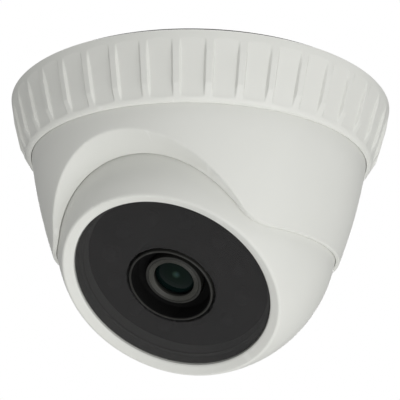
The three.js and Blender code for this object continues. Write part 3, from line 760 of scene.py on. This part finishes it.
def shell_column(angle):
    """The shell's section: ball, rim, window ledge, light trap round the board, inside."""
    inner = BALL_RADIUS - BALL_WALL
    faces_at = edge_angle(RIM_START, BALL_RADIUS)
    low = 90 - math.degrees(split_angle(angle, BALL_RADIUS, COVER_SPLIT))
    low_inside = 90 - math.degrees(split_angle(angle, inner, COVER_SPLIT))
    corners = arc(BALL_RADIUS, low + 0.5, faces_at, 60)
    corners += [
        (25.85, 21.72, 0.6),
        (24.0, 20.95, 0.3),
        (RIM_OPENING, 20.7, 0.15),
        (RIM_OPENING, LEDGE_Z, 0.1),
        (22.9, LEDGE_Z, 0.1),
        (22.0, SHELF_Z, 0.1),
        (23.8, SHELF_Z, 0.1),
        (23.8, TRAP_TOP),
    ]
    corners += arc(inner, math.degrees(math.asin(TRAP_TOP / inner)), low_inside, 24)
    corners.append((*arc(BALL_RADIUS, low, low, 1)[0], 0.2))
    return [around(radius, z, angle) for radius, z in rounded(corners, steps=5)]


def eyeball_front_shell():
    count = 360
    columns = [shell_column(math.tau * i / count) for i in range(count)]
    return stand_in(skin_of("eyeball_front_shell_fine", columns, FACE, crease=50), "eyeball_front_shell")


COVER = FACE @ Matrix.Rotation(-COVER_AXIS, 4, "X")


def eyeball_rear_cover():
    inner = BALL_RADIUS - BALL_WALL
    split = COVER_SPLIT + 0.3

    def angle_of(radius, z):
        return math.degrees(math.asin(z / radius))

    outline = [(0, COVER_FACE - BALL_WALL)]
    outline += arc(inner, angle_of(inner, COVER_FACE - BALL_WALL), angle_of(inner, split), 8)
    outline += arc(BALL_RADIUS, angle_of(BALL_RADIUS, split), angle_of(BALL_RADIUS, COVER_FACE - 0.6), 14)
    outline += [(30.8, COVER_FACE - 0.1), (30.4, COVER_FACE), (0, COVER_FACE)]
    cover = lathe("eyeball_rear_cover_fine", outline, 180, COVER)
    tools = [prism("wire_hole", hole_outline(4, 36), 9, 16, COVER)]
    for angle in THREE_WAYS:
        place = COVER @ Matrix.Rotation(math.radians(angle), 4, "Z") @ Matrix.Translation((27.4, 0, 0))
        tools.append(prism("screw_seat", hole_outline(2.4, 24), COVER_FACE - 1.7, 16, place))
    return stand_in(bevelled(carved(cover, tools), 0.2, angle=50), "eyeball_rear_cover")


def front_window():
    hole = 10.7
    outline = rounded([
        (hole, WINDOW_BACK, 0.15),
        (WINDOW_RADIUS, WINDOW_BACK, 0.15),
        (WINDOW_RADIUS, WINDOW_FRONT, 0.25),
        (hole, WINDOW_FRONT, 0.25),
    ])
    return stand_in(lathe("front_window_fine", outline, 240, FACE), "front_window")


def lens_shroud():
    """The dark tube round the lens, and the matt liner inside it, whose near-black finish paints the shade down in
    the tube.
    """
    outline = rounded([
        (9.62, SHELF_Z),
        (10.1, SHELF_Z),
        (10.1, WINDOW_FRONT + 0.1, 0.3),
        (9.62, WINDOW_FRONT + 0.2, 0.25),
    ])
    shroud = stand_in(lathe("lens_shroud_fine", outline, 160, FACE), "lens_shroud")
    paint(shroud, "lens_black")
    liner = rounded([
        (9.2, 16.6),
        (9.58, 16.6),
        (9.58, WINDOW_FRONT + 0.02, 0.06),
        (9.38, WINDOW_FRONT - 0.1, 0.15),
        (9.0, 16.9, 0.4),
        (6.95, 16.4, 0.2),
        (6.95, 15.9, 0.1),
        (9.2, 15.9, 0.1),
    ])
    added(lathe("lens_shroud_liner", liner, 160, FACE), "eyeball", "black_plastic", "matt_black_painted_shade")


def lens_barrel():
    """A threaded tube with a plain head. The thread's turns are rings."""
    head = 6.75
    thread = 6.1
    thread_depth = 0.28
    thread_pitch = 0.5
    outline = [(2.6, 2.6), (thread - 0.3, 2.6)]
    for z in [2.9 + thread_pitch * turn for turn in range(23)]:
        outline += [(thread, z), (thread - thread_depth, z + thread_pitch / 2)]
    outline += rounded([
        (thread, 14.6),
        (head, 15.2, 0.2),
        (head, 18.3, 0.2),
        (6.16, 18.3, 0.08),
        (6.12, 17.2),
        (5.4, 17.2),
        (5.4, 14.4),
        (4.2, 14.4),
        (3.5, 5.0),
        (2.6, 5.0),
    ], closed=False)
    barrel = stand_in(lathe("lens_barrel_fine", outline, 128, FACE), "lens_barrel")
    paint(barrel, "lens_black")


def lens_retaining_ring():
    """Its face falls gently to the glass, with three shallow grooves turned in it."""
    inner, outer, base_z, face_z, fall = 4.86, 6.08, 17.3, 18.26, 0.16
    outline = [(inner + 0.1, base_z), (outer, base_z), (outer, face_z - 0.05), (outer - 0.05, face_z)]
    for radius in (5.86, 5.5, 5.14):
        level = face_z - fall * (outer - radius)
        outline += [(radius + 0.09, level), (radius, level - 0.07), (radius - 0.09, level)]
    outline += [(inner + 0.06, face_z - 0.24), (inner, face_z - 0.3), (inner, base_z + 0.1)]
    ring = stand_in(lathe("lens_retaining_ring_fine", outline, 160, FACE, crease=25), "lens_retaining_ring")
    paint(ring, "lens_face")


def lens_front_glass():
    """A meniscus: its front is crowned and its back is hollow."""
    radius, crown, crown_curve = 4.8, 17.75, 12.5
    hollow_radius, hollow_top, hollow_curve = 3.9, 16.75, 7.5
    seat = 15.7
    hollow_centre = (0, hollow_top - hollow_curve)
    hollow = arc(hollow_curve, edge_angle(hollow_radius, hollow_curve), 90, 10, hollow_centre)
    front = arc(crown_curve, edge_angle(radius, crown_curve), 90, 16, (0, crown - crown_curve))
    outline = [(0, hollow_top), *reversed(hollow[:-1]), (hollow_radius, seat), (radius, seat)]
    outline += [*front[:-1], (0, crown)]
    stand_in(lathe("lens_front_glass_fine", outline, 128, FACE), "lens_front_glass")


def lens_inside():
    """The second glass and the stop round it, behind the front glass."""
    radius, back, crown, curve = 2.3, 14.9, 16.1, 4.2
    front = arc(curve, edge_angle(radius, curve), 90, 10, (0, 11.9))
    outline = [(0, back), (radius, back), *front[:-1], (0, crown)]
    added(lathe("lens_second_glass", outline, 96, FACE), "lens", "glass", "inner_glass")
    stop = rounded([(radius, 14.6), (4.1, 14.6), (4.1, 15.2, 0.1), (radius, 15.2, 0.1)])
    # The stop has the same near-black finish with painted shade.
    added(lathe("lens_stop", stop, 96, FACE), "lens", "black_plastic", "matt_black_painted_shade")


def lens_rear_glass():
    outline = rounded([(0, 5.4), (3.1, 5.4, 0.2), (3.1, 6.6, 0.2), (0, 7.0)], closed=False)
    stand_in(lathe("lens_rear_glass_fine", outline, 64, FACE), "lens_rear_glass")


LED_CIRCLE = 16.2


def infrared_leds():
    """Eleven of twelve places round the lens. The light sensor has the twelfth."""
    outline = rounded([
        (0, 0),
        (2.6, 0, 0.1),
        (2.6, 0.8, 0.15),
        (2.1, 0.8, 0.1),
        (2.05, 1.3, 0.5),
        (1.5, 2.3, 0.6),
        (0, 2.7),
    ], closed=False)
    for number in range(1, 12):
        turn = math.radians(-90 + 30 * number)
        place = FACE @ Matrix.Rotation(turn, 4, "Z") @ Matrix.Translation((LED_CIRCLE, 0, SHELF_Z))
        stand_in(lathe(f"ir_led_{number}_fine", outline, 40, place), f"ir_led_{number}")


# ---- Build ------------------------------------------------------------------------------------

for node, cad_object in frame["nodes"].items():
    paint(cad_object, SLOTS[node])
paint(frame["nodes"]["window_seal"], "silicone")

base_plate()
base_gasket()
cable_grommet()
locking_ring()
ring_tabs()
base_lugs()
dome_housing()
eyeball_front_shell()
eyeball_rear_cover()
front_window()
lens_shroud()
lens_barrel()
lens_retaining_ring()
lens_front_glass()
lens_inside()
lens_rear_glass()
infrared_leds()


# ---- Camera, light and floor --------------------------------------------------------------------

CAMERA_LENS = 106.6
CAMERA_PLACE = (0.12568, -0.24441, -0.11753)
CAMERA_HEADING, CAMERA_ELEVATION, CAMERA_ROLL = -27.10, 18.85, 1.58
WORLD_STRENGTH = 0.31
FLOOR_Z = -0.6
FLOOR_HALF_SIDE = 2.5
MIDDLE = (0, 0, -0.035)

# Each round light's name, place, target, diameter and power in watts.
LIGHTS = [
    ("key", (0.295, -0.248, -0.495), MIDDLE, 0.8, 2.4),
    ("side", (0.626, -0.110, -0.170), MIDDLE, 0.45, 0.46),
    ("top", (0.3, -0.3, 1.0), (0.3, -0.3, FLOOR_Z), 1.2, 8.0),
    ("back", (-0.43, 0.84, 0.29), MIDDLE, 0.6, 4.0),
]


def looking(heading, elevation, roll):
    """Rotation of something that looks along +Y when its heading, elevation and roll are zero."""
    turn = Matrix.Rotation(-math.radians(heading), 4, "Z")
    turn = turn @ Matrix.Rotation(math.radians(90 + elevation), 4, "X")
    return turn @ Matrix.Rotation(math.radians(roll), 4, "Z")


def add_camera():
    data = bpy.data.cameras.new("camera")
    data.lens = CAMERA_LENS
    data.sensor_width = 36
    data.clip_start = 0.01
    camera = bpy.data.objects.new("camera", data)
    turn = looking(CAMERA_HEADING, CAMERA_ELEVATION, CAMERA_ROLL)
    camera.matrix_world = Matrix.Translation(CAMERA_PLACE) @ turn
    bpy.context.scene.collection.objects.link(camera)
    bpy.context.scene.camera = camera


def add_light(name, place, target, size, power):
    data = bpy.data.lights.new(name, "AREA")
    data.shape = "DISK"
    data.size = size
    data.energy = power
    light = bpy.data.objects.new(name, data)
    aim = Vector(target) - Vector(place)
    light.matrix_world = Matrix.Translation(place) @ aim.to_track_quat("-Z", "Y").to_matrix().to_4x4()
    bpy.context.scene.collection.objects.link(light)


def add_world():
    """White all round, as a plain studio cove looks, with a softer strength for what it lights."""
    world = bpy.data.worlds.new("studio")
    world.use_nodes = True
    tree = world.node_tree
    background = tree.nodes["Background"]
    background.inputs["Color"].default_value = (1, 1, 1, 1)
    path = tree.nodes.new("ShaderNodeLightPath")
    strength = tree.nodes.new("ShaderNodeMapRange")
    strength.inputs["To Min"].default_value = WORLD_STRENGTH
    strength.inputs["To Max"].default_value = 1.0
    tree.links.new(path.outputs["Is Camera Ray"], strength.inputs["Value"])
    tree.links.new(strength.outputs["Result"], background.inputs["Strength"])
    bpy.context.scene.world = world


def add_floor():
    side = FLOOR_HALF_SIDE
    corners = [(-side, -side, FLOOR_Z), (side, -side, FLOOR_Z), (side, side, FLOOR_Z), (-side, side, FLOOR_Z)]
    floor = mesh_object("floor", corners, [(0, 1, 2, 3)])
    finish = Finish("floor_paper")
    finish.colour((0.84, 0.84, 0.83), (0.88, 0.88, 0.87), 0.002)
    finish.rough(0.8, 0.9, 0.01)
    floor.data.materials.append(finish.material)


bpy.context.scene.view_settings.view_transform = "Standard"
add_camera()
add_world()
add_floor()
for light in LIGHTS:
    add_light(*light)
